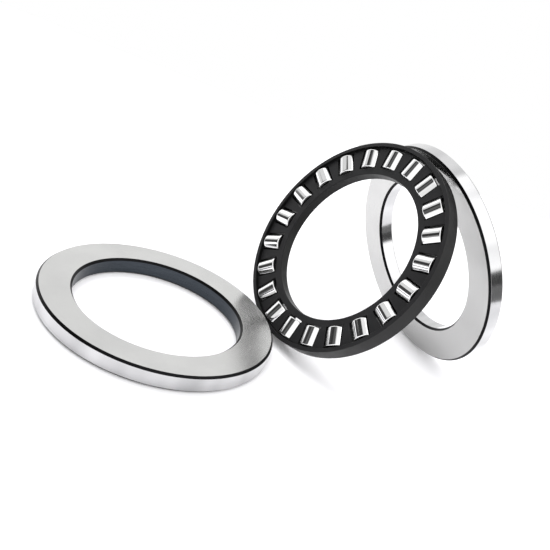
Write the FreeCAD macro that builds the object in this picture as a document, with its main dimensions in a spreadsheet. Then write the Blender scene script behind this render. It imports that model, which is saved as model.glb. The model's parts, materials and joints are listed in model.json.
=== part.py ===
"""Separable cylindrical roller thrust bearing, laid out in three groups on a flat surface.

The housing washer lies flat.  The cage with its rollers and the shaft washer stand behind it
and lean on each other like the two sides of a tent.
The origin is on that surface, under the middle of the whole layout, and +Z is the housing
washer's axis.  Every ring is modelled about its own Z axis, centred on its own middle plane,
and then placed.
"""

import math
import os

import FreeCAD
import Part
import Sketcher

ORIGIN = -1  # Sketcher's number for the geometry that holds the sketch's origin point
START = 1  # Sketcher's number for the first point of a line
VOLUME_TOLERANCE = 0.001
LAYOUT_TOLERANCE = 0.05

doc = FreeCAD.newDocument("thrust_bearing")


# ---------------------------------------------------------------- driving dimensions

DIMENSIONS = [
    ("outer_diameter", 115.0),  # both washers
    ("shaft_bore_diameter", 80.0),  # shaft washer: seats on the shaft
    ("housing_bore_diameter", 82.0),  # housing washer: clears the shaft
    ("washer_thickness", 8.5),
    ("washer_chamfer", 1.1),
    ("roller_diameter", 10.0),
    ("roller_length", 10.0),
    ("roller_edge_radius", 0.6),
    ("roller_count", 21),
    ("pitch_diameter", 98.0),  # circle through the middles of the rollers
    ("cage_bore_diameter", 80.1),
    ("cage_outer_diameter", 114.6),
    ("rim_height", 8.6),  # cage thickness over its outer rim
    ("bar_height", 5.4),  # cage thickness over its bars and inner rim
    ("rim_inner_diameter", 110.5),  # where the outer rim steps down to the bars
    ("cage_edge_radius", 0.3),
    ("pocket_clearance", 0.55),  # between a roller and the pocket's round wall
    ("pocket_end_clearance", 0.5),  # between a roller's flat end and the pocket's end wall
    ("roller_sag", 0.3),  # how far each roller has sunk back in its pocket as the cage leans
    ("roller_slide", 0.35),  # how far the lowest roller has slid outwards, and the highest inwards
    ("cage_x", 75.1),  # middle of the cage, from the housing washer's axis
    ("cage_y", 44.7),
    ("cage_heading", 217.9),  # the way the cage's front face looks, anticlockwise from +X
    ("cage_lean", 25.6),  # how far that face tips back from vertical
    ("cage_turn", 10.1),  # of the first pocket, from the lowest point of the ring
    ("shaft_washer_x", 116.3),
    ("shaft_washer_y", 75.2),
    ("shaft_washer_heading", 217.0),
    ("shaft_washer_lean", 20.4),  # how far its front face tips forward from vertical
    ("layout_middle_x", 49.69),  # middle of the layout's box, from the housing washer's axis
    ("layout_middle_y", 33.48),
]

sizes = doc.addObject("Spreadsheet::Sheet", "Sizes")
for row, (alias, value) in enumerate(DIMENSIONS, start=1):
    sizes.set(f"A{row}", alias)
    sizes.set(f"B{row}", str(value))
    sizes.setAlias(f"B{row}", alias)
doc.recompute()


def size(alias):
    """The number that the sheet holds under that alias."""
    return float(sizes.get(alias))


# ---------------------------------------------------------------- building blocks


def origin_plane(body, role):
    """One of the body's own origin planes or axes."""
    return next(f for f in body.Origin.OriginFeatures if f.Role == role)


def new_sketch(body, name, role="XZ_Plane"):
    """An empty sketch on one of the body's origin planes: its x is X, and its y is Z."""
    sketch = body.newObject("Sketcher::SketchObject", name)
    sketch.AttachmentSupport = [(origin_plane(body, role), "")]
    sketch.MapMode = "FlatFace"
    return sketch


def closed_outline(sketch, corners):
    """A closed outline of level and upright lines.

    corners holds an (x expression, y expression) pair for each corner, in order.
    Each corner is tied to the sheet by its distance from the sketch's origin.
    """
    count = len(corners)
    values = [[evaluate(sketch, expression) for expression in corner] for corner in corners]
    for i in range(count):
        here = FreeCAD.Vector(*values[i], 0)
        there = FreeCAD.Vector(*values[(i + 1) % count], 0)
        sketch.addGeometry(Part.LineSegment(here, there), False)
    for i in range(count):
        sketch.addConstraint(Sketcher.Constraint("Coincident", i, 2, (i + 1) % count, START))
    for i, corner in enumerate(corners):
        for kind, expression, value in zip(("DistanceX", "DistanceY"), corner, values[i]):
            index = sketch.addConstraint(
                Sketcher.Constraint(kind, ORIGIN, START, i, START, value)
            )
            sketch.setExpression(f"Constraints[{index}]", expression)


def evaluate(owner, expression):
    """The number that a sheet expression gives, as a starting value for a constraint."""
    return float(owner.evalExpression(expression))


def revolve(body, sketch, name):
    """Turns a sketch a full turn about the ring's axis, which is the sketch's own y axis."""
    solid = body.newObject("PartDesign::Revolution", name)
    solid.Profile = sketch
    solid.ReferenceAxis = (sketch, ["V_Axis"])
    solid.Angle = 360
    doc.recompute()
    return solid


def round_edges_at(feature, radii):
    """Names of the feature's full circles whose radius is one of those given."""
    names = []
    for i, edge in enumerate(feature.Shape.Edges, start=1):
        if isinstance(edge.Curve, Part.Circle) and edge.isClosed():
            if any(abs(edge.Curve.Radius - r) < 0.01 for r in radii):
                names.append(f"Edge{i}")
    return names


# ---------------------------------------------------------------- sub-parts


def make_washer(name, bore):
    """A flat ground ring with chamfered edges.  bore is the alias of its bore's diameter."""
    body = doc.addObject("PartDesign::Body", name)
    body.Label = name
    inner, outer = f"Sizes.{bore} / 2", "Sizes.outer_diameter / 2"
    low, high = "-Sizes.washer_thickness / 2", "Sizes.washer_thickness / 2"
    sketch = new_sketch(body, name + "_section")
    closed_outline(sketch, [(inner, low), (outer, low), (outer, high), (inner, high)])
    ring = revolve(body, sketch, name + "_ring")
    chamfer = body.newObject("PartDesign::Chamfer", name + "_chamfer")
    edges = round_edges_at(ring, (size(bore) / 2, size("outer_diameter") / 2))
    chamfer.Base = (ring, edges)
    chamfer.setExpression("Size", "Sizes.washer_chamfer")
    doc.recompute()
    return body


def make_cage():
    """A moulded ring with a raised outer rim on both faces, and a pocket for each roller.

    A pocket is a round hole along a radius, closed at both ends.  The cage is thinner than
    the rollers, so each pocket is open on both faces, and narrower there than the roller.
    """
    body = doc.addObject("PartDesign::Body", "cage")
    body.Label = "cage"
    bore, outer = "Sizes.cage_bore_diameter / 2", "Sizes.cage_outer_diameter / 2"
    step = "Sizes.rim_inner_diameter / 2"
    rim_low, rim_high = "-Sizes.rim_height / 2", "Sizes.rim_height / 2"
    bar_low, bar_high = "-Sizes.bar_height / 2", "Sizes.bar_height / 2"
    sketch = new_sketch(body, "cage_section")
    closed_outline(
        sketch,
        [
            (bore, bar_low),
            (step, bar_low),
            (step, rim_low),
            (outer, rim_low),
            (outer, rim_high),
            (step, rim_high),
            (step, bar_high),
            (bore, bar_high),
        ],
    )
    ring = revolve(body, sketch, "cage_ring")

    rounding = body.newObject("PartDesign::Fillet", "cage_rounding")
    radii = (size("cage_bore_diameter") / 2, size("cage_outer_diameter") / 2)
    rounding.Base = (ring, round_edges_at(ring, radii))
    rounding.setExpression("Radius", "Sizes.cage_edge_radius")
    doc.recompute()

    half_pocket = "(Sizes.roller_length / 2 + Sizes.pocket_end_clearance)"
    near = f"Sizes.pitch_diameter / 2 - {half_pocket}"
    far = f"Sizes.pitch_diameter / 2 + {half_pocket}"
    wall = "Sizes.roller_diameter / 2 + Sizes.pocket_clearance"
    sketch = new_sketch(body, "pocket_section")
    closed_outline(sketch, [(near, "0"), (far, "0"), (far, wall), (near, wall)])
    pocket = body.newObject("PartDesign::Groove", "pocket")
    pocket.Profile = sketch
    pocket.ReferenceAxis = (sketch, ["H_Axis"])
    pocket.Angle = 360
    doc.recompute()

    pockets = body.newObject("PartDesign::PolarPattern", "pockets")
    pockets.Originals = [pocket]
    pockets.Axis = (origin_plane(body, "Z_Axis"), [""])
    pockets.Angle = 360
    pockets.setExpression("Occurrences", "Sizes.roller_count")
    body.Tip = pockets
    doc.recompute()
    one_pocket = rounding.Shape.Volume - pocket.Shape.Volume
    all_pockets = rounding.Shape.Volume - pockets.Shape.Volume
    if abs(all_pockets - size("roller_count") * one_pocket) > VOLUME_TOLERANCE * all_pockets:
        raise RuntimeError("the cage's pockets were not all cut")
    return body


def make_roller(name):
    """A cylindrical roller about its own Z axis, centred, with rounded end edges."""
    body = doc.addObject("PartDesign::Body", name)
    body.Label = name
    cylinder = body.newObject("PartDesign::AdditiveCylinder", name + "_cylinder")
    cylinder.setExpression("Radius", "Sizes.roller_diameter / 2")
    cylinder.setExpression("Height", "Sizes.roller_length")
    cylinder.AttachmentSupport = [(origin_plane(body, "XY_Plane"), "")]
    cylinder.MapMode = "FlatFace"
    cylinder.setExpression("AttachmentOffset.Base.z", "-Sizes.roller_length / 2")
    doc.recompute()
    rounding = body.newObject("PartDesign::Fillet", name + "_rounding")
    rounding.Base = (cylinder, round_edges_at(cylinder, (size("roller_diameter") / 2,)))
    rounding.setExpression("Radius", "Sizes.roller_edge_radius")
    doc.recompute()
    return body


# ---------------------------------------------------------------- layout on the surface


def leaning(x, y, height, heading, tip):
    """Placement expression: a ring's Z axis looks along heading, tip degrees from upright."""
    across, along = f"{x} - Sizes.layout_middle_x", f"{y} - Sizes.layout_middle_y"
    return f"placement(vector({across}; {along}; {height}); rotation({heading}; {tip}; 0))"


def turned(angle):
    """Placement expression of a turn about the ring's own axis."""
    return f"placement(vector(0; 0; 0); rotation({angle}; 0; 0))"


housing_washer = make_washer("housing_washer", "housing_bore_diameter")
housing_washer.setExpression(
    "Placement", leaning("0", "0", "Sizes.washer_thickness / 2", "0", "0")
)

# A chamfered ring stands on the outer corner of its chamfer.
shaft_washer = make_washer("shaft_washer", "shaft_bore_diameter")
shaft_washer_height = (
    "Sizes.outer_diameter / 2 * cos(Sizes.shaft_washer_lean)"
    " + (Sizes.washer_thickness / 2 - Sizes.washer_chamfer) * sin(Sizes.shaft_washer_lean)"
)
shaft_washer.setExpression(
    "Placement",
    leaning(
        "Sizes.shaft_washer_x",
        "Sizes.shaft_washer_y",
        shaft_washer_height,
        "Sizes.shaft_washer_heading",
        "90 + Sizes.shaft_washer_lean",
    ),
)

# A ring with rounded edges stands on the round of its edge.
cage = make_cage()
cage_height = (
    "(Sizes.cage_outer_diameter / 2 - Sizes.cage_edge_radius) * cos(Sizes.cage_lean)"
    " + (Sizes.rim_height / 2 - Sizes.cage_edge_radius) * sin(Sizes.cage_lean)"
    " + Sizes.cage_edge_radius"
)
cage.setExpression(
    "Placement",
    leaning(
        "Sizes.cage_x",
        "Sizes.cage_y",
        cage_height,
        "Sizes.cage_heading",
        "90 - Sizes.cage_lean",
    )
    + " * "
    + turned("Sizes.cage_turn"),
)

# Each roller's axis runs out from the cage's, and its Z end points outwards.
rollers = []
for i in range(int(size("roller_count"))):
    roller = make_roller(f"roller_{i + 1:02d}")
    angle = f"360 * {i} / Sizes.roller_count"
    around = turned(angle)
    slide = f"Sizes.roller_slide * cos({angle} + Sizes.cage_turn)"
    middle = f"vector(Sizes.pitch_diameter / 2 + {slide}; 0; -Sizes.roller_sag)"
    out_along_radius = f"placement({middle}; rotation(0; 90; 0))"
    roller.setExpression("Placement", f"cage.Placement * {around} * {out_along_radius}")
    rollers.append(roller)
doc.recompute()


# ---------------------------------------------------------------- checks and files

for item in doc.Objects:
    if "Invalid" in item.State or "Error" in item.State:
        raise RuntimeError(f"{item.Name} failed: {item.State}")


def ring_volume(outer, bore, height):
    """Volume of a plain ring."""
    return math.pi / 4 * (outer**2 - bore**2) * height


for washer, bore in ((housing_washer, "housing_bore_diameter"), (shaft_washer, "shaft_bore_diameter")):
    chamfers = math.pi * size("washer_chamfer") ** 2 * (size("outer_diameter") + size(bore))
    plain = ring_volume(size("outer_diameter"), size(bore), size("washer_thickness"))
    if abs(washer.Shape.Volume - plain + chamfers) > VOLUME_TOLERANCE * plain:
        raise RuntimeError(f"{washer.Label} has the wrong volume")

sub_parts = [housing_washer, shaft_washer, cage, *rollers]
layout = FreeCAD.BoundBox()
for body in sub_parts:
    shape = body.Shape
    if shape.isNull() or not shape.isValid() or len(shape.Solids) != 1:
        raise RuntimeError(f"{body.Label} is not one valid solid")
    layout.add(shape.optimalBoundingBox())
off_centre = (layout.Center.x, layout.Center.y, layout.ZMin)
if max(abs(distance) for distance in off_centre) > LAYOUT_TOLERANCE:
    raise RuntimeError(f"the layout is not centred over the origin: {off_centre}")

os.makedirs("parts", exist_ok=True)
for body in sub_parts:
    body.Shape.exportStep(f"parts/{body.Label}.step")
    print(f"{body.Label}: {body.Shape.Volume:.0f} mm3")
print(f"layout: {layout.XLength:.2f} by {layout.YLength:.2f} by {layout.ZLength:.2f} mm")
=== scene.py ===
"""Looks of a separable cylindrical roller thrust bearing, laid out in three groups.

Every piece is a lathed or built mesh in its own frame: its axis is its local Z, and its
middle is its origin.  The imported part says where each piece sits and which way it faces.
Lengths in the builders are in millimetres; MM turns them into metres.
"""

import json
import math

import bmesh
import bpy
from mathutils import Matrix, Vector

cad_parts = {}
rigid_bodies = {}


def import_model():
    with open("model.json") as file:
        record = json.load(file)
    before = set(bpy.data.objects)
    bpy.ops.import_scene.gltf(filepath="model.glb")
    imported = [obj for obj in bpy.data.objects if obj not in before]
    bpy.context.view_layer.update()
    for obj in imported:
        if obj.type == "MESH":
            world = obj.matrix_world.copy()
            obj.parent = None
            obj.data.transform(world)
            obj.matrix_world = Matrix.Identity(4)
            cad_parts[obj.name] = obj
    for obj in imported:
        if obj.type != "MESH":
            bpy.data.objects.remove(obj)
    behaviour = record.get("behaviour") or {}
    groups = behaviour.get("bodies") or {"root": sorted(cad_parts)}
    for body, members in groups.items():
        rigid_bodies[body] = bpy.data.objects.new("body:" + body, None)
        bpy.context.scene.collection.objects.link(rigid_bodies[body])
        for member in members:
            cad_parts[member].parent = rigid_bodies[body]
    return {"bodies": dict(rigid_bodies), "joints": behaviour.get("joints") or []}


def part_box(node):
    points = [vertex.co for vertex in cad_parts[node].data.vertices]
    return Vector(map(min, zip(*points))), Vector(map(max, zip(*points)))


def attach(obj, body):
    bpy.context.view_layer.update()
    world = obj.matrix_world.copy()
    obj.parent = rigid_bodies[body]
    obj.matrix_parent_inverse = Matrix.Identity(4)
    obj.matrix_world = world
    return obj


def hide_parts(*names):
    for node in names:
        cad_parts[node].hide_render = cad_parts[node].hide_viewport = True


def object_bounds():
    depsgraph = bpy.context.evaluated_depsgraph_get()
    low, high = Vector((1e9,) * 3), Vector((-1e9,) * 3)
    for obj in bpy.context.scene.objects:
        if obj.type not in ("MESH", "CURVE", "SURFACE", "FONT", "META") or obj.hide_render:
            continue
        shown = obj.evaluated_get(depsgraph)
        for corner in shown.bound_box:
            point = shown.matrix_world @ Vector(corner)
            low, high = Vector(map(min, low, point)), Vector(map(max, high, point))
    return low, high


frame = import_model()
cad_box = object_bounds()

MM = 0.001

# ------------------------------------------------------------------ sizes, as in the part

WASHER_OUTER_R = 57.495  # a hair inside the part's, so that the washers stay in its box
SHAFT_BORE_R = 40.0
HOUSING_BORE_R = 41.0
WASHER_THICKNESS = 8.5
WASHER_CHAMFER = 1.1
ROLLER_R = 5.0
ROLLER_LENGTH = 10.0
ROLLER_EDGE = 0.6
PITCH_R = 49.0
CAGE_BORE_R = 40.05
CAGE_OUTER_R = 57.3
CAGE_EDGE = 0.3
STEP_R = 55.25  # where the cage's bars end and its raised outer rim begins
RIM_HALF = 4.3  # half the height over that rim
BAR_HALF = 2.7  # half the height over the bars
POCKET_R = 5.55
POCKET_HALF = 5.5  # half a pocket's length, along the cage's radius

# ------------------------------------------------------------------ fine points of the meshes

WASHER_ROUND = 0.12  # rounding where a washer's chamfers begin and end
STEP_ROUND = 0.1  # rounding of the rim's inner edge
LIP_ROUND = 0.12  # rounding of a pocket's lips
LIP_ANGLE = 0.5  # radians between two faces that meet in a lip, at the least
SUPPORT = 0.12  # how far along a side the point lies that keeps the side's shading flat
SUPPORT_SHARE = 0.2  # the same on a short side, as a share of it
NEAR_ENOUGH = 1e-3  # places closer than this are taken for the same
POCKET_WELD = 1e-4  # points of one pocket that are closer than this become one
RING_WELD = 2e-3  # the same between the pockets and the cage's rim and bore

POCKET_SEGMENTS = 24  # across one pocket and its share of the bars; even, to meet the rings
POCKET_STEPS_ALONG = 16
POCKET_STEPS_AROUND = 14
WASHER_EDGE_STEPS = 4
ROLLER_EDGE_STEPS = 8
CAGE_EDGE_STEPS = 6
ROLLER_SEGMENTS = 96
SHARP = math.radians(42)  # edges that turn more than this are shaded as creases

FLAT_INNER_R = CAGE_BORE_R + CAGE_EDGE  # where the cage's flat faces begin
POCKET_NEAR, POCKET_FAR = PITCH_R - POCKET_HALF, PITCH_R + POCKET_HALF
MOUTH_HALF = math.sqrt(POCKET_R**2 - BAR_HALF**2)  # half a pocket's width where it opens

OWN_FRAME = "own_frame"  # mesh attribute: a point's place in its piece's own frame, in metres
OUTWARD = "outward"  # mesh attribute: the way straight out from the piece's axis


# ------------------------------------------------------------------ where the pieces are


def placement(centre, axis, along):
    """Placement whose Z is axis, and whose X is the part of along at right angles to it."""
    z = Vector(axis).normalized()
    x = Vector(along) - z * Vector(along).dot(z)
    x.normalize()
    turn = Matrix((x, z.cross(x), z)).transposed()
    return Matrix.Translation(Vector(centre)) @ turn.to_4x4()


UP = Vector((0, 0, 1))
joints = {joint["child"]: joint for joint in frame["joints"]}
roller_names = sorted(name for name in frame["bodies"] if name.startswith("roller_"))
RING_SEGMENTS = POCKET_SEGMENTS * len(roller_names)


def place_on_joint(body, along):
    """Placement of a piece that turns about its own axis, from its joint."""
    return placement(joints[body]["pos_m"], joints[body]["axis"], along)


low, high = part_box("housing_washer")
places = {
    "housing_washer": placement((low + high) / 2, UP, (1, 0, 0)),
    "shaft_washer": place_on_joint("shaft_washer", UP),
    "cage": place_on_joint("cage", joints[roller_names[0]]["axis"]),
}
for name in roller_names:
    places[name] = place_on_joint(name, joints["cage"]["axis"])


# ------------------------------------------------------------------ mesh builders


def rounded_outline(corners, steps):
    """Outline points with each corner rounded, as (radius, height, material of what follows).

    corners holds (radius, height, rounding, material of the round, material of the side
    that follows).  A support point near each end of a side keeps its shading flat.
    """
    points = []
    count = len(corners)
    for i, (r, z, rounding, on_round, material) in enumerate(corners):
        here = Vector((r, z))
        before = Vector(corners[i - 1][:2]) - here
        after = Vector(corners[(i + 1) % count][:2]) - here
        if rounding == 0:
            points.append((r, z, material))
            continue
        back, ahead = before.normalized(), after.normalized()
        half = back.angle(ahead) / 2
        reach = rounding / math.tan(half)
        centre = here + (back + ahead).normalized() * (rounding / math.sin(half))
        first, last = here + back * reach, here + ahead * reach
        extra = min(SUPPORT, before.length * SUPPORT_SHARE)
        points.append((*(first + back * extra), corners[i - 1][4]))
        start = math.atan2(*(first - centre).yx)
        end = math.atan2(*(last - centre).yx)
        sweep = (end - start + math.pi) % (2 * math.pi) - math.pi
        for k in range(steps + 1):
            a = start + sweep * k / steps
            spot = centre + rounding * Vector((math.cos(a), math.sin(a)))
            points.append((*spot, on_round if k < steps else material))
        extra = min(SUPPORT, after.length * SUPPORT_SHARE)
        points.append((*(last + ahead * extra), material))
    return points


def lathe(points, segments, closed=True):
    """A mesh turned about Z from outline points; points on the axis become one vertex."""
    bm = bmesh.new()
    rings = []
    for r, z, _ in points:
        if r < NEAR_ENOUGH:
            rings.append([bm.verts.new((0, 0, z * MM))])
            continue
        ring = []
        for k in range(segments):
            a = 2 * math.pi * k / segments
            ring.append(bm.verts.new((r * math.cos(a) * MM, r * math.sin(a) * MM, z * MM)))
        rings.append(ring)
    count = len(points)
    for i in range(count if closed else count - 1):
        first, second = rings[i], rings[(i + 1) % count]
        for k in range(segments):
            n = (k + 1) % segments
            corners = [first[k % len(first)], first[n % len(first)]]
            corners += [second[n % len(second)], second[k % len(second)]]
            unique = list(dict.fromkeys(corners))
            if len(unique) > 2:
                bm.faces.new(unique).material_index = points[i][2]
    return bm


def add_piece(name, body, bm, materials, node):
    """Turns a bmesh into a smooth-shaded piece that rides on a body and replaces its CAD node."""
    bmesh.ops.recalc_face_normals(bm, faces=bm.faces)
    mesh = bpy.data.meshes.new(name)
    bm.to_mesh(mesh)
    bm.free()
    mesh.attributes.new(OWN_FRAME, "FLOAT_VECTOR", "POINT")
    mesh.attributes.new(OUTWARD, "FLOAT_VECTOR", "POINT")
    own, outward = mesh.attributes[OWN_FRAME].data, mesh.attributes[OUTWARD].data
    turn = places[body].to_3x3()
    for i, vertex in enumerate(mesh.vertices):
        own[i].vector = vertex.co
        outward[i].vector = turn @ Vector((vertex.co.x, vertex.co.y, 0)).normalized()
    mesh.transform(places[body])
    for polygon in mesh.polygons:
        polygon.use_smooth = True
    mesh.set_sharp_from_angle(angle=SHARP)
    for material in materials:
        mesh.materials.append(material)
    piece = bpy.data.objects.new(name, mesh)
    bpy.context.scene.collection.objects.link(piece)
    normals = piece.modifiers.new("flat_faces_stay_flat", "WEIGHTED_NORMAL")
    normals.keep_sharp = True
    normals.weight = 100  # the largest faces alone decide
    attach(piece, body)
    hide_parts(node)


# Places in a washer's list of materials, in a roller's and in the cage's.
FACE, WALL, CHAMFER, BORE = range(4)
BARREL, END = range(2)
PLASTIC = 0


def washer_mesh(bore_r, back_edge=CHAMFER):
    """Flat ring with chamfered edges.

    back_edge is the material of the bore's chamfer on the side away from the rollers.
    """
    h, c, e = WASHER_THICKNESS / 2, WASHER_CHAMFER, WASHER_ROUND
    corners = [
        (bore_r, -h + c, e, back_edge, back_edge),
        (bore_r + c, -h, e, FACE, FACE),
        (WASHER_OUTER_R - c, -h, e, FACE, CHAMFER),
        (WASHER_OUTER_R, -h + c, e, WALL, WALL),
        (WASHER_OUTER_R, h - c, e, WALL, CHAMFER),
        (WASHER_OUTER_R - c, h, e, FACE, FACE),
        (bore_r + c, h, e, FACE, CHAMFER),
        (bore_r, h - c, e, CHAMFER, BORE),
    ]
    return lathe(rounded_outline(corners, WASHER_EDGE_STEPS), RING_SEGMENTS)


def roller_mesh():
    """Short cylinder with rounded end edges."""
    h, r = ROLLER_LENGTH / 2, ROLLER_R
    corners = [
        (0, -h, 0, END, END),
        (r, -h, ROLLER_EDGE, BARREL, BARREL),
        (r, h, ROLLER_EDGE, BARREL, END),
        (0, h, 0, END, END),
    ]
    outline = rounded_outline(corners, ROLLER_EDGE_STEPS)
    return lathe(outline, ROLLER_SEGMENTS, closed=False)


def add_grid(bm, rows):
    """Quads between rows of points of equal length."""
    verts = [[bm.verts.new(Vector(p) * MM) for p in row] for row in rows]
    for upper, lower in zip(verts, verts[1:]):
        for k in range(len(upper) - 1):
            bm.faces.new((upper[k], upper[k + 1], lower[k + 1], lower[k]))


def even_steps(start, end, count):
    """Numbers at equal steps from start to end."""
    return [start + (end - start) * k / count for k in range(count + 1)]


def polar_point(r, a, z):
    """A point from its radius, its angle and its height."""
    return (r * math.cos(a), r * math.sin(a), z)


def add_pocket_faces(bm, half_pitch):
    """The cage's two flat faces round one pocket, half way to its neighbours."""
    across = even_steps(-1, 1, POCKET_SEGMENTS)
    mouth = even_steps(POCKET_NEAR, POCKET_FAR, POCKET_STEPS_ALONG)
    radii = even_steps(FLAT_INNER_R, STEP_R, POCKET_STEPS_ALONG)
    for z in (-BAR_HALF, BAR_HALF):
        for x, r in ((POCKET_NEAR, FLAT_INNER_R), (POCKET_FAR, STEP_R)):
            edge = [(x, MOUTH_HALF * t, z) for t in across]
            arc = [polar_point(r, half_pitch * t, z) for t in across]
            add_grid(bm, [edge, arc])
        for side in (-1, 1):
            edge = [(x, side * MOUTH_HALF, z) for x in mouth]
            ray = [polar_point(r, side * half_pitch, z) for r in radii]
            add_grid(bm, [edge, ray])


def add_pocket_walls(bm):
    """The round wall on each side of one pocket's roller, and the flat wall at each end."""
    across = even_steps(-1, 1, POCKET_SEGMENTS)
    along = even_steps(POCKET_NEAR, POCKET_FAR, POCKET_STEPS_ALONG)
    dip = math.asin(BAR_HALF / POCKET_R)
    section = []
    for a in even_steps(-dip, dip, POCKET_STEPS_AROUND):
        section.append((POCKET_R * math.cos(a), POCKET_R * math.sin(a)))
    for side in (-1, 1):
        add_grid(bm, [[(x, side * y, z) for x in along] for y, z in section])
    for x in (POCKET_NEAR, POCKET_FAR):
        add_grid(bm, [[(x, y * t, z) for t in across] for y, z in section])


def is_lip(edge):
    """Whether an edge is where a pocket's wall meets one of the cage's flat faces."""
    for vertex in edge.verts:
        x, y, z = vertex.co / MM
        if abs(abs(z) - BAR_HALF) > NEAR_ENOUGH or abs(y) > MOUTH_HALF + NEAR_ENOUGH:
            return False
        if not POCKET_NEAR - NEAR_ENOUGH < x < POCKET_FAR + NEAR_ENOUGH:
            return False
    return len(edge.link_faces) == 2 and edge.calc_face_angle(0) > LIP_ANGLE


def round_lips(bm):
    """Gives the lips of one pocket a fine rounding, which catches the light."""
    bmesh.ops.remove_doubles(bm, verts=bm.verts, dist=POCKET_WELD * MM)
    bmesh.ops.recalc_face_normals(bm, faces=bm.faces)
    bmesh.ops.bevel(
        bm,
        geom=[edge for edge in bm.edges if is_lip(edge)],
        offset=LIP_ROUND * MM,
        segments=3,
        profile=0.5,
        affect="EDGES",
        clamp_overlap=True,
    )


def repeat_about_axis(bm, count):
    """Copies what is there, so that it stands count times round Z."""
    original = list(bm.verts) + list(bm.edges) + list(bm.faces)
    for k in range(1, count):
        copied = bmesh.ops.duplicate(bm, geom=original)["geom"]
        moved = [item for item in copied if isinstance(item, bmesh.types.BMVert)]
        turn = Matrix.Rotation(2 * math.pi * k / count, 3, "Z")
        bmesh.ops.rotate(bm, verts=moved, cent=(0, 0, 0), matrix=turn)


def add_lathe(bm, points):
    """Adds a ring, lathed from outline points, to a mesh in the making."""
    ring = lathe(points, RING_SEGMENTS, closed=False)
    mesh = bpy.data.meshes.new("cage_part")
    ring.to_mesh(mesh)
    ring.free()
    bm.from_mesh(mesh)
    bpy.data.meshes.remove(mesh)


def rim_outline():
    """The cage's raised outer rim, from its step on one face round to the other."""
    corners = [
        (STEP_R, -BAR_HALF, 0),
        (STEP_R, -RIM_HALF, STEP_ROUND),
        (CAGE_OUTER_R, -RIM_HALF, CAGE_EDGE),
        (CAGE_OUTER_R, RIM_HALF, CAGE_EDGE),
        (STEP_R, RIM_HALF, STEP_ROUND),
        (STEP_R, BAR_HALF, 0),
    ]
    in_plastic = [(*corner, PLASTIC, PLASTIC) for corner in corners]
    return rounded_outline(in_plastic, CAGE_EDGE_STEPS)


def bore_outline():
    """The cage's bore with its two rounded edges, from one face to the other."""
    upper = []
    for a in even_steps(0, math.pi / 2, CAGE_EDGE_STEPS):
        r = FLAT_INNER_R - CAGE_EDGE * math.sin(a)
        upper.append((r, BAR_HALF - CAGE_EDGE * (1 - math.cos(a)), PLASTIC))
    return upper + [(r, -z, material) for r, z, material in reversed(upper)]


def cage_mesh(count):
    """Moulded ring with a raised outer rim and one pocket for each roller."""
    bm = bmesh.new()
    add_pocket_faces(bm, math.pi / count)
    add_pocket_walls(bm)
    round_lips(bm)
    repeat_about_axis(bm, count)
    add_lathe(bm, rim_outline())
    add_lathe(bm, bore_outline())
    bmesh.ops.remove_doubles(bm, verts=bm.verts, dist=RING_WELD * MM)
    return bm


# ------------------------------------------------------------------ materials


NOISE_LOW, NOISE_HIGH = 0.3, 0.7  # the range that most of a noise lies in


class Nodes:
    """Short names for building a material's nodes."""

    def __init__(self, name):
        self.material = bpy.data.materials.new(name)
        self.material.use_nodes = True
        self.tree = self.material.node_tree
        self.shader = self.tree.nodes["Principled BSDF"]
        self.coords = self.add("ShaderNodeAttribute", attribute_name=OWN_FRAME).outputs["Vector"]

    def add(self, kind, **settings):
        node = self.tree.nodes.new(kind)
        for key, value in settings.items():
            setattr(node, key, value)
        return node

    def link(self, source, target):
        self.tree.links.new(source, target)

    def feed(self, node, key, value):
        if isinstance(value, bpy.types.NodeSocket):
            self.link(value, node.inputs[key])
        else:
            node.inputs[key].default_value = value

    def maths(self, operation, a, b=0.0):
        node = self.add("ShaderNodeMath", operation=operation)
        self.feed(node, 0, a)
        self.feed(node, 1, b)
        return node.outputs[0]

    def remap(self, value, low_in, high_in, low_out, high_out):
        node = self.add("ShaderNodeMapRange")
        for key, item in zip(
            ("Value", "From Min", "From Max", "To Min", "To Max"),
            (value, low_in, high_in, low_out, high_out),
        ):
            self.feed(node, key, item)
        return node.outputs["Result"]

    def noise(self, vector, scale=1.0, detail=2.0, roughness=0.5):
        node = self.add("ShaderNodeTexNoise")
        for key, item in (
            ("Vector", vector),
            ("Scale", scale),
            ("Detail", detail),
            ("Roughness", roughness),
        ):
            self.feed(node, key, item)
        return node.outputs["Fac"]

    def colours(self, factor, first, second):
        node = self.add("ShaderNodeMix", data_type="RGBA")
        self.feed(node, "Factor", factor)
        node.inputs["A"].default_value = (*first, 1)
        node.inputs["B"].default_value = (*second, 1)
        return node.outputs["Result"]

    def spread(self, noise, low_out, high_out):
        """A noise stretched to fill the range from low_out to high_out."""
        return self.remap(noise, NOISE_LOW, NOISE_HIGH, low_out, high_out)

    def about_axis(self):
        """The radius, height and angle of a point about its piece's axis."""
        split = self.add("ShaderNodeSeparateXYZ")
        self.link(self.coords, split.inputs[0])
        x, y, height = split.outputs
        squares = self.maths("ADD", self.maths("MULTIPLY", x, x), self.maths("MULTIPLY", y, y))
        return self.maths("SQRT", squares), height, self.maths("ARCTAN2", y, x)

    def polar(self, radial, axial, around):
        """Coordinates with so many units to a metre of radius, a metre of height and a radian."""
        join = self.add("ShaderNodeCombineXYZ")
        scales = (radial, axial, around)
        for socket, value, scale in zip(join.inputs, self.about_axis(), scales):
            self.link(self.maths("MULTIPLY", value, scale), socket)
        return join.outputs[0]

    def bump(self, height, depth):
        """Fine relief, depth millimetres from its lowest to its highest."""
        node = self.add("ShaderNodeBump")
        self.feed(node, "Height", height)
        self.feed(node, "Distance", depth * MM)
        self.link(node.outputs[0], self.shader.inputs["Normal"])

    def set(self, **values):
        """Sets or links the shader's sockets, named with _ for each space."""
        for key, value in values.items():
            self.feed(self.shader, key.replace("_", " "), value)


GRINDING_DEPTH = 0.0008


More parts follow.
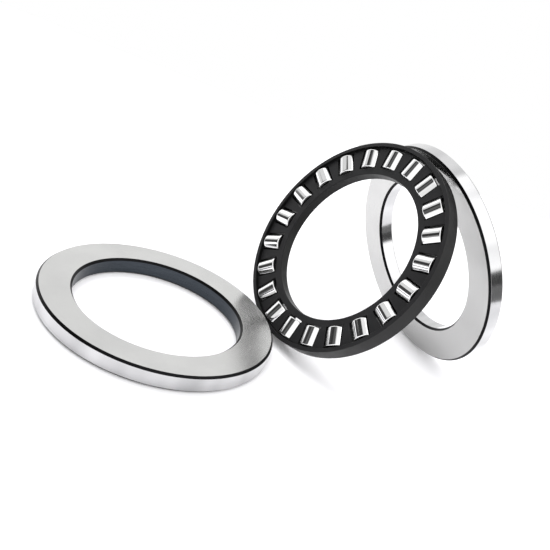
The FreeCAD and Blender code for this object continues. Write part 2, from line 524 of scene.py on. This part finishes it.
def ground_face():
    """Ground steel with fine marks round the axis, which draw its sheen out along the radius."""
    m = Nodes("ground_face")
    marks = m.noise(m.polar(radial=9000, axial=0, around=3), detail=3, roughness=0.6)
    patches = m.noise(m.coords, scale=30, detail=3, roughness=0.55)
    outward = m.add("ShaderNodeAttribute", attribute_name=OUTWARD).outputs["Vector"]
    across_marks = m.add("ShaderNodeVectorTransform", vector_type="VECTOR")
    across_marks.convert_from, across_marks.convert_to = "OBJECT", "WORLD"
    m.link(outward, across_marks.inputs[0])
    m.set(
        Base_Color=m.colours(m.spread(patches, 0, 1), (0.48, 0.48, 0.475), (0.55, 0.55, 0.543)),
        Metallic=1.0,
        Roughness=m.spread(marks, 0.21, 0.28),
        Anisotropic=0.55,
        Tangent=across_marks.outputs[0],
    )
    m.bump(marks, depth=GRINDING_DEPTH)
    return m.material


def ground_wall():
    """Ground steel of the round walls, with fine marks, and soft bands of painted reflection round
    them, lighter and darker.
    """
    m = Nodes("ground_wall")
    marks = m.noise(m.polar(radial=0, axial=9000, around=3), detail=3, roughness=0.6)
    painted_reflection_bands = m.noise(m.polar(radial=0, axial=12, around=2.4), roughness=0.55)
    m.set(
        # painted reflection: soft bands round the wall make the steel lighter and darker
        Base_Color=m.colours(m.spread(painted_reflection_bands, 0, 1), (0.38, 0.38, 0.385), (0.61, 0.61, 0.615)),
        Metallic=1.0,
        Roughness=m.spread(marks, 0.10, 0.16),
    )
    m.bump(marks, depth=GRINDING_DEPTH)
    return m.material


def scale_and_dark_reflection_steel(name, dark, light, roughness, metallic):
    """A dark, slightly streaked skin: on the chamfers, turned steel left unground after hardening;
    on the housing washer's bore, a painted reflection of dark surroundings.
    """
    m = Nodes(name)
    streaks = m.noise(m.polar(radial=2500, axial=2500, around=6), detail=4, roughness=0.6)
    m.set(
        Base_Color=m.colours(m.spread(streaks, 0, 1), dark, light),
        Metallic=metallic,
        Roughness=m.spread(streaks, roughness, roughness + 0.12),
    )
    m.bump(streaks, depth=0.01)
    return m.material


def polished_steel(name, roughness):
    """Lapped chrome steel with hair-fine marks round the roller."""
    m = Nodes(name)
    marks = m.noise(m.polar(radial=4000, axial=14000, around=2))
    m.set(
        Base_Color=m.colours(marks, (0.76, 0.76, 0.76), (0.84, 0.84, 0.84)),
        Metallic=1.0,
        Roughness=m.spread(marks, roughness, roughness + 0.05),
    )
    return m.material


FADE_START, FADE_END = 0.02, 0.12  # how far off a face's height its painted lit grey starts to fade, and ends
SHADE_START, SHADE_END = 0.3, 0.9  # how far in from the rim the painted shade by its step fades, and ends
CLOUD_SHARE = 0.2  # of the plastic's tint; the rest is painted light and shade, lighter where a point is on a face


def painted_light_mask(m):
    """Painted light and shade: 1 on the cage's two faces, on bars and rim alike, painted as lit,
    and 0 on its walls and by the step, painted as shade.
    """
    radius, height, _ = m.about_axis()
    height = m.maths("ABSOLUTE", height)

    def reaches(level):
        """1 at a height or above it, and 0 below."""
        return m.remap(height, (level - FADE_END) * MM, (level - FADE_START) * MM, 0, 1)

    below = m.remap(height, (BAR_HALF + FADE_START) * MM, (BAR_HALF + FADE_END) * MM, 1, 0)
    # painted shade: the bars darken towards the rim's step
    out_of_painted_step_shade = m.remap(radius, (STEP_R - SHADE_END) * MM, (STEP_R - SHADE_START) * MM, 1, 0)
    painted_lit_bars = m.maths("MULTIPLY", m.maths("MULTIPLY", reaches(BAR_HALF), below), out_of_painted_step_shade)
    return m.maths("MAXIMUM", painted_lit_bars, reaches(RIM_HALF))


def black_plastic(name):
    """Moulded black polyamide, with painted light and shade: a fine matt grey on the faces, painted
    as lit, and a deeper black on the walls and by the rim's step, painted as shade.
    """
    m = Nodes(name)
    grain = m.noise(m.coords, scale=5200, detail=3, roughness=0.6)
    cloud = m.noise(m.coords, scale=160, detail=3)
    # painted light and shade: the faces lighter grey as if lit, the walls a deeper black as if
    # shaded
    painted_lit = m.maths("MULTIPLY", painted_light_mask(m), 1 - CLOUD_SHARE)
    cloud_and_painted_light = m.maths("ADD", painted_lit, m.maths("MULTIPLY", cloud, CLOUD_SHARE))
    m.set(
        Base_Color=m.colours(cloud_and_painted_light, (0.004, 0.004, 0.004), (0.0185, 0.0185, 0.0195)),
        Roughness=m.spread(cloud, 0.34, 0.46),
        Specular_IOR_Level=0.21,
    )
    m.bump(grain, depth=0.01)
    return m.material


face_steel = ground_face()
wall_steel = ground_wall()
chamfer_steel = scale_and_dark_reflection_steel(
    "chamfer_scale", (0.004, 0.004, 0.0045), (0.011, 0.011, 0.012), roughness=0.35, metallic=0.95
)
# the housing washer's bore: its dark colour is a painted reflection of dark surroundings
bore_painted_reflection = scale_and_dark_reflection_steel(
    "bore_painted_reflection", (0.036, 0.042, 0.050), (0.056, 0.064, 0.074), roughness=0.24, metallic=1.0
)
barrel_steel = polished_steel("roller_barrel", roughness=0.05)
end_steel = polished_steel("roller_end", roughness=0.14)
plastic = black_plastic("cage_polyamide")

# ------------------------------------------------------------------ the pieces

add_piece(
    "housing_washer_ring",
    "housing_washer",
    washer_mesh(HOUSING_BORE_R),
    [face_steel, wall_steel, chamfer_steel, bore_painted_reflection],
    "housing_washer",
)
add_piece(
    "shaft_washer_ring",
    "shaft_washer",
    washer_mesh(SHAFT_BORE_R, back_edge=BORE),
    [face_steel, wall_steel, chamfer_steel, wall_steel],
    "shaft_washer",
)
add_piece("cage_ring", "cage", cage_mesh(len(roller_names)), [plastic], "cage")
for name in roller_names:
    add_piece(name + "_body", name, roller_mesh(), [barrel_steel, end_steel], name)


# ------------------------------------------------------------------ floor, light and camera

FLOOR_HALF = 0.4  # in metres, like the lengths that follow
FLOOR_LEVEL = -0.00002  # just under the pieces, so that no two surfaces coincide


def make_floor():
    """A wide white surface under the bearing, faintly lit from within to stay white."""
    mesh = bpy.data.meshes.new("floor")
    signs = [(-1, -1), (1, -1), (1, 1), (-1, 1)]
    corners = [(x * FLOOR_HALF, y * FLOOR_HALF, FLOOR_LEVEL) for x, y in signs]
    mesh.from_pydata(corners, [], [(0, 1, 2, 3)])
    floor = bpy.data.objects.new("floor", mesh)
    bpy.context.scene.collection.objects.link(floor)
    m = Nodes("floor_white")
    m.set(Base_Color=(0.89, 0.885, 0.905, 1), Roughness=0.7, Specular_IOR_Level=0.2)
    m.set(Emission_Color=(1, 1, 1, 1), Emission_Strength=0.13)
    mesh.materials.append(m.material)


def sun_light(name, towards, width, strength):
    """An even light from a soft disc, width degrees across, that lies towards a point."""
    data = bpy.data.lights.new(name, "SUN")
    data.angle, data.energy = math.radians(width), strength
    light = bpy.data.objects.new(name, data)
    light.visible_glossy = False
    light.rotation_mode = "QUATERNION"
    light.rotation_quaternion = Vector(towards).to_track_quat("Z", "Y")
    bpy.context.scene.collection.objects.link(light)


WALLS = 1.0  # brightness of the room where no card is, and of all that the camera sees of it

# Each card: azimuth and elevation of its middle, half width and half height, softness of
# its edge, all in degrees, and its brightness.  Azimuth 0 is +X and 90 is +Y.  Later cards
# cover earlier ones.
CARDS = (
    (136, 38, 28, 38, 6, 1.5),  # soft box behind, on the left
    (268, 42, 30, 30, 10, 1.45),  # soft box in front, above the camera
    (96, 32, 20, 30, 8, 1.26),  # bright back wall
    (345, 40, 28, 26, 5, 2.2),  # soft box on the right
    (22, 69, 64, 14, 4, 2.0),  # soft box overhead
    (168, 22, 12, 38, 4, 0.84),  # plain wall between the soft box and the curtain
    (206, 28, 24, 30, 5, 0.12),  # grey curtain on the left
    (187, 26, 9, 30, 2, 0.04),  # black edges of that curtain
    (222, 26, 4, 30, 2, 0.04),
    (175, 5, 8, 13, 2, 0.06),  # low black corner beside it
    (196, -7, 12, 6, 3, 0.4),  # grey strip under it
    (342, -7, 16, 14, 9, 0.24),  # dark gap past the edge of the table, on the right
    (342, 8, 16, 6, 1.5, 0.085),  # darkest strip of that gap
)


def make_studio():
    """A white room with soft boxes and dark cards for the steel to mirror."""
    world = bpy.data.worlds.new("studio")
    world.use_nodes = True
    bpy.context.scene.world = world
    tree = world.node_tree

    def node(kind, *values, **settings):
        made = tree.nodes.new(kind)
        for key, value in settings.items():
            setattr(made, key, value)
        for socket, value in zip(made.inputs, values):
            if isinstance(value, bpy.types.NodeSocket):
                tree.links.new(value, socket)
            elif value is not None:
                socket.default_value = value
        return made

    def maths(operation, *values):
        return node("ShaderNodeMath", *values, operation=operation).outputs[0]

    def inside(distance, half, soft):
        """1 inside the half width, and 0 outside, with a soft edge."""
        start, end = math.radians(half - soft), math.radians(half + soft)
        ramp = node("ShaderNodeMapRange", distance, start, end, 1.0, 0.0)
        ramp.interpolation_type = "SMOOTHSTEP"
        return ramp.outputs["Result"]

    split = node("ShaderNodeSeparateXYZ", tree.nodes.new("ShaderNodeTexCoord").outputs["Generated"])
    azimuth = maths("ARCTAN2", split.outputs[1], split.outputs[0])
    elevation = maths("ARCSINE", split.outputs[2])
    strength = WALLS
    for turn, rise, half_width, half_height, soft, level in CARDS:
        away = maths("WRAP", maths("SUBTRACT", azimuth, math.radians(turn)), math.pi, -math.pi)
        across = inside(maths("ABSOLUTE", away), half_width, soft)
        upwards = maths("ABSOLUTE", maths("SUBTRACT", elevation, math.radians(rise)))
        mask = maths("MULTIPLY", across, inside(upwards, half_height, soft))
        strength = node("ShaderNodeMix", mask, None, strength, level).outputs["Result"]
    seen = tree.nodes.new("ShaderNodeLightPath").outputs["Is Camera Ray"]
    strength = node("ShaderNodeMix", seen, None, strength, WALLS).outputs["Result"]
    background = tree.nodes["Background"]
    background.inputs["Color"].default_value = (1, 1, 1, 1)
    tree.links.new(strength, background.inputs["Strength"])


CAMERA_ELEVATION = math.radians(24.09)
CAMERA_ROLL = math.radians(21.65)
CAMERA_DEPTH = 0.4484  # how far in front of it the object's middle is
CAMERA_RIGHT, CAMERA_UP = -0.0120, -0.0202  # how far to its right and upwards of that middle it is
LENS, SENSOR = 60.57, 36  # in millimetres


def make_camera():
    """Looks along +Y from above, turned about its line of sight."""
    forward = Vector((0, math.cos(CAMERA_ELEVATION), -math.sin(CAMERA_ELEVATION)))
    level = Vector((1, 0, 0))
    steep = level.cross(forward)
    right = level * math.cos(CAMERA_ROLL) + steep * math.sin(CAMERA_ROLL)
    up = right.cross(forward)
    middle = (cad_box[0] + cad_box[1]) / 2
    place = middle - forward * CAMERA_DEPTH + right * CAMERA_RIGHT + up * CAMERA_UP
    turn = Matrix((right, up, -forward)).transposed()
    data = bpy.data.cameras.new("camera")
    data.lens, data.sensor_width = LENS, SENSOR
    data.clip_start, data.clip_end = 0.01, 50
    camera = bpy.data.objects.new("camera", data)
    camera.matrix_world = Matrix.Translation(place) @ turn.to_4x4()
    bpy.context.scene.collection.objects.link(camera)
    bpy.context.scene.camera = camera


make_floor()
make_studio()
sun_light("key", towards=(-0.5, 0.5, 0.75), width=50, strength=1.8)
make_camera()
bpy.context.scene.view_settings.view_transform = "Standard"
